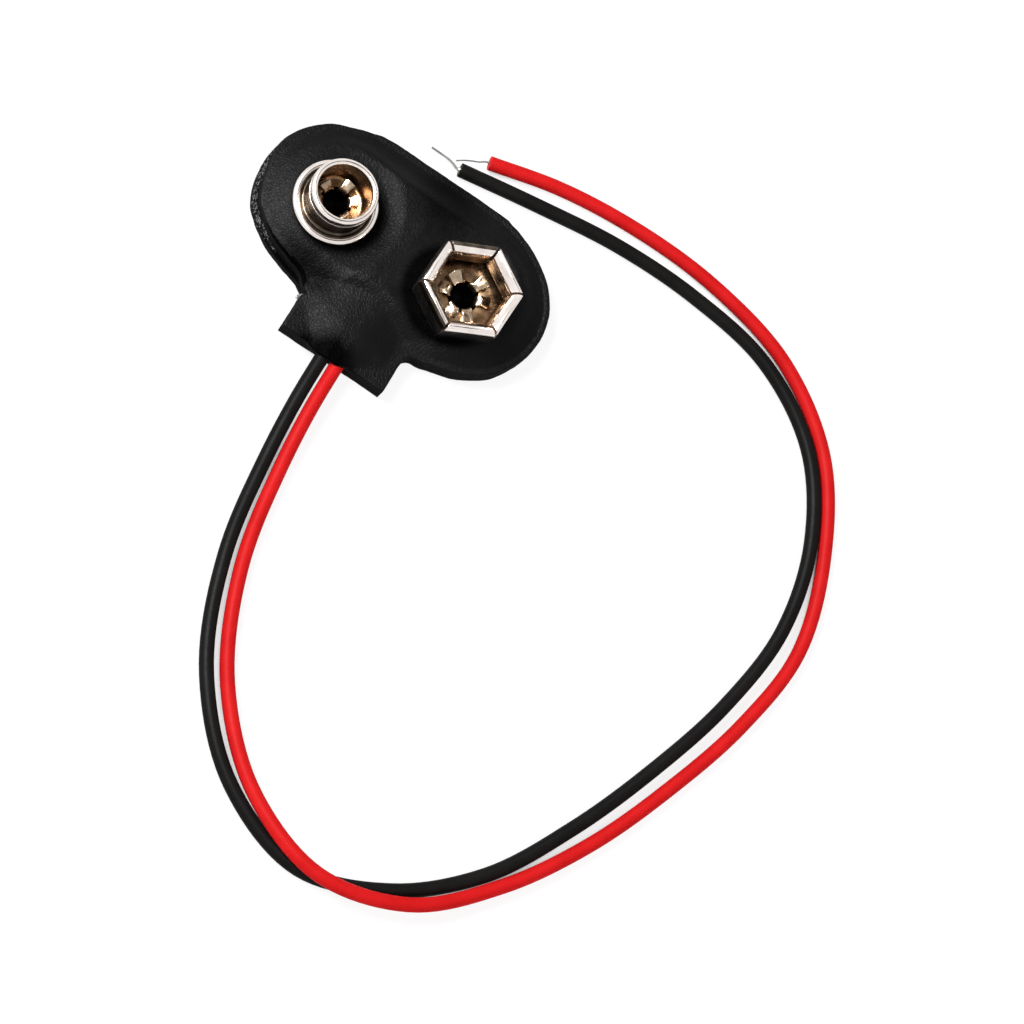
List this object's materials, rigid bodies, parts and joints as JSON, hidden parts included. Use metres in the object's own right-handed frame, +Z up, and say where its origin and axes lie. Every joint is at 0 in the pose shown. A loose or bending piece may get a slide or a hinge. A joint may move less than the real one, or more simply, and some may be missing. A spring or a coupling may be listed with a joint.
{
  "type": "9 volt battery snap connector",
  "caption": "Soft snap connector for a 9 volt block battery: leatherette pad with a plated stud, a six-leaf socket and insulated leads with bare ends",
  "frame": {"origin": "on the resting plane under the pad, midway between the stud and the socket", "axes": "+X from the stud to the socket, +Y away from the tab and the leads' exit, +Z up out of the contacts"},
  "size_m": [0.059, 0.0628, 0.0058],
  "materials": {
    "leatherette": "black grained leatherette, satin",
    "fibre": "hard brown fibre board, matt",
    "nickel": "bright nickel plate",
    "rivet_metal": "thinly plated brass",
    "solder": "dull tin solder",
    "red_insulation": "satin red vinyl",
    "black_insulation": "satin black vinyl",
    "tinned_core": "tinned copper strands"
  },
  "bodies": {
    "root": {"bottom_cover": "leatherette", "top_cover": "leatherette", "contact_board": "fibre", "stud_contact": "nickel", "socket_contact": "nickel", "stud_rivet": "rivet_metal", "socket_rivet": "rivet_metal", "stud_solder": "solder", "socket_solder": "solder", "red_wire": "red_insulation", "black_wire": "black_insulation", "red_wire_tip": "tinned_core", "black_wire_tip": "tinned_core", "red_inner_end": "tinned_core", "black_inner_end": "tinned_core"}
  },
  "joints": []
}
